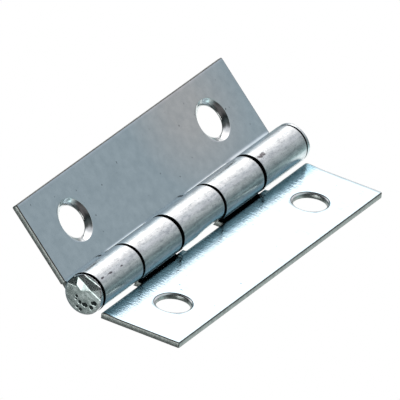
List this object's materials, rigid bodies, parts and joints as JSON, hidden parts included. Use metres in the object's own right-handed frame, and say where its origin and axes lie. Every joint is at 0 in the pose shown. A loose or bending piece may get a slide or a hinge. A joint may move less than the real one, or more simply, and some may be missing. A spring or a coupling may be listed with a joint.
{
  "type": "butt hinge",
  "caption": "Narrow pressed-steel butt hinge, zinc plated, with a fixed pin through rolled knuckles and countersunk screw holes, for hanging a cabinet door.",
  "frame": {"origin": "midway between the front leaf's two screw holes, on the outer face that seats on the wood", "axes": "+X from the pin towards the front leaf's free edge, +Y along the pin, +Z out of the seating face towards the screw heads"},
  "size_m": [0.0257, 0.0515, 0.0112],
  "materials": {
    "leaf_zinc": "bright zinc plate on pressed steel strip",
    "pin_zinc": "bright zinc plate on steel wire, with hammered heads"
  },
  "bodies": {
    "front": {"front_leaf": "leaf_zinc"},
    "back": {"back_leaf": "leaf_zinc", "pin": "pin_zinc"}
  },
  "joints": [
    {"name": "hinge", "type": "hinge", "parent": "front", "child": "back", "pos_m": [-0.00815, 0, 0.0027], "axis": [0, -1, 0], "range_deg": [-149, 103]}
  ]
}
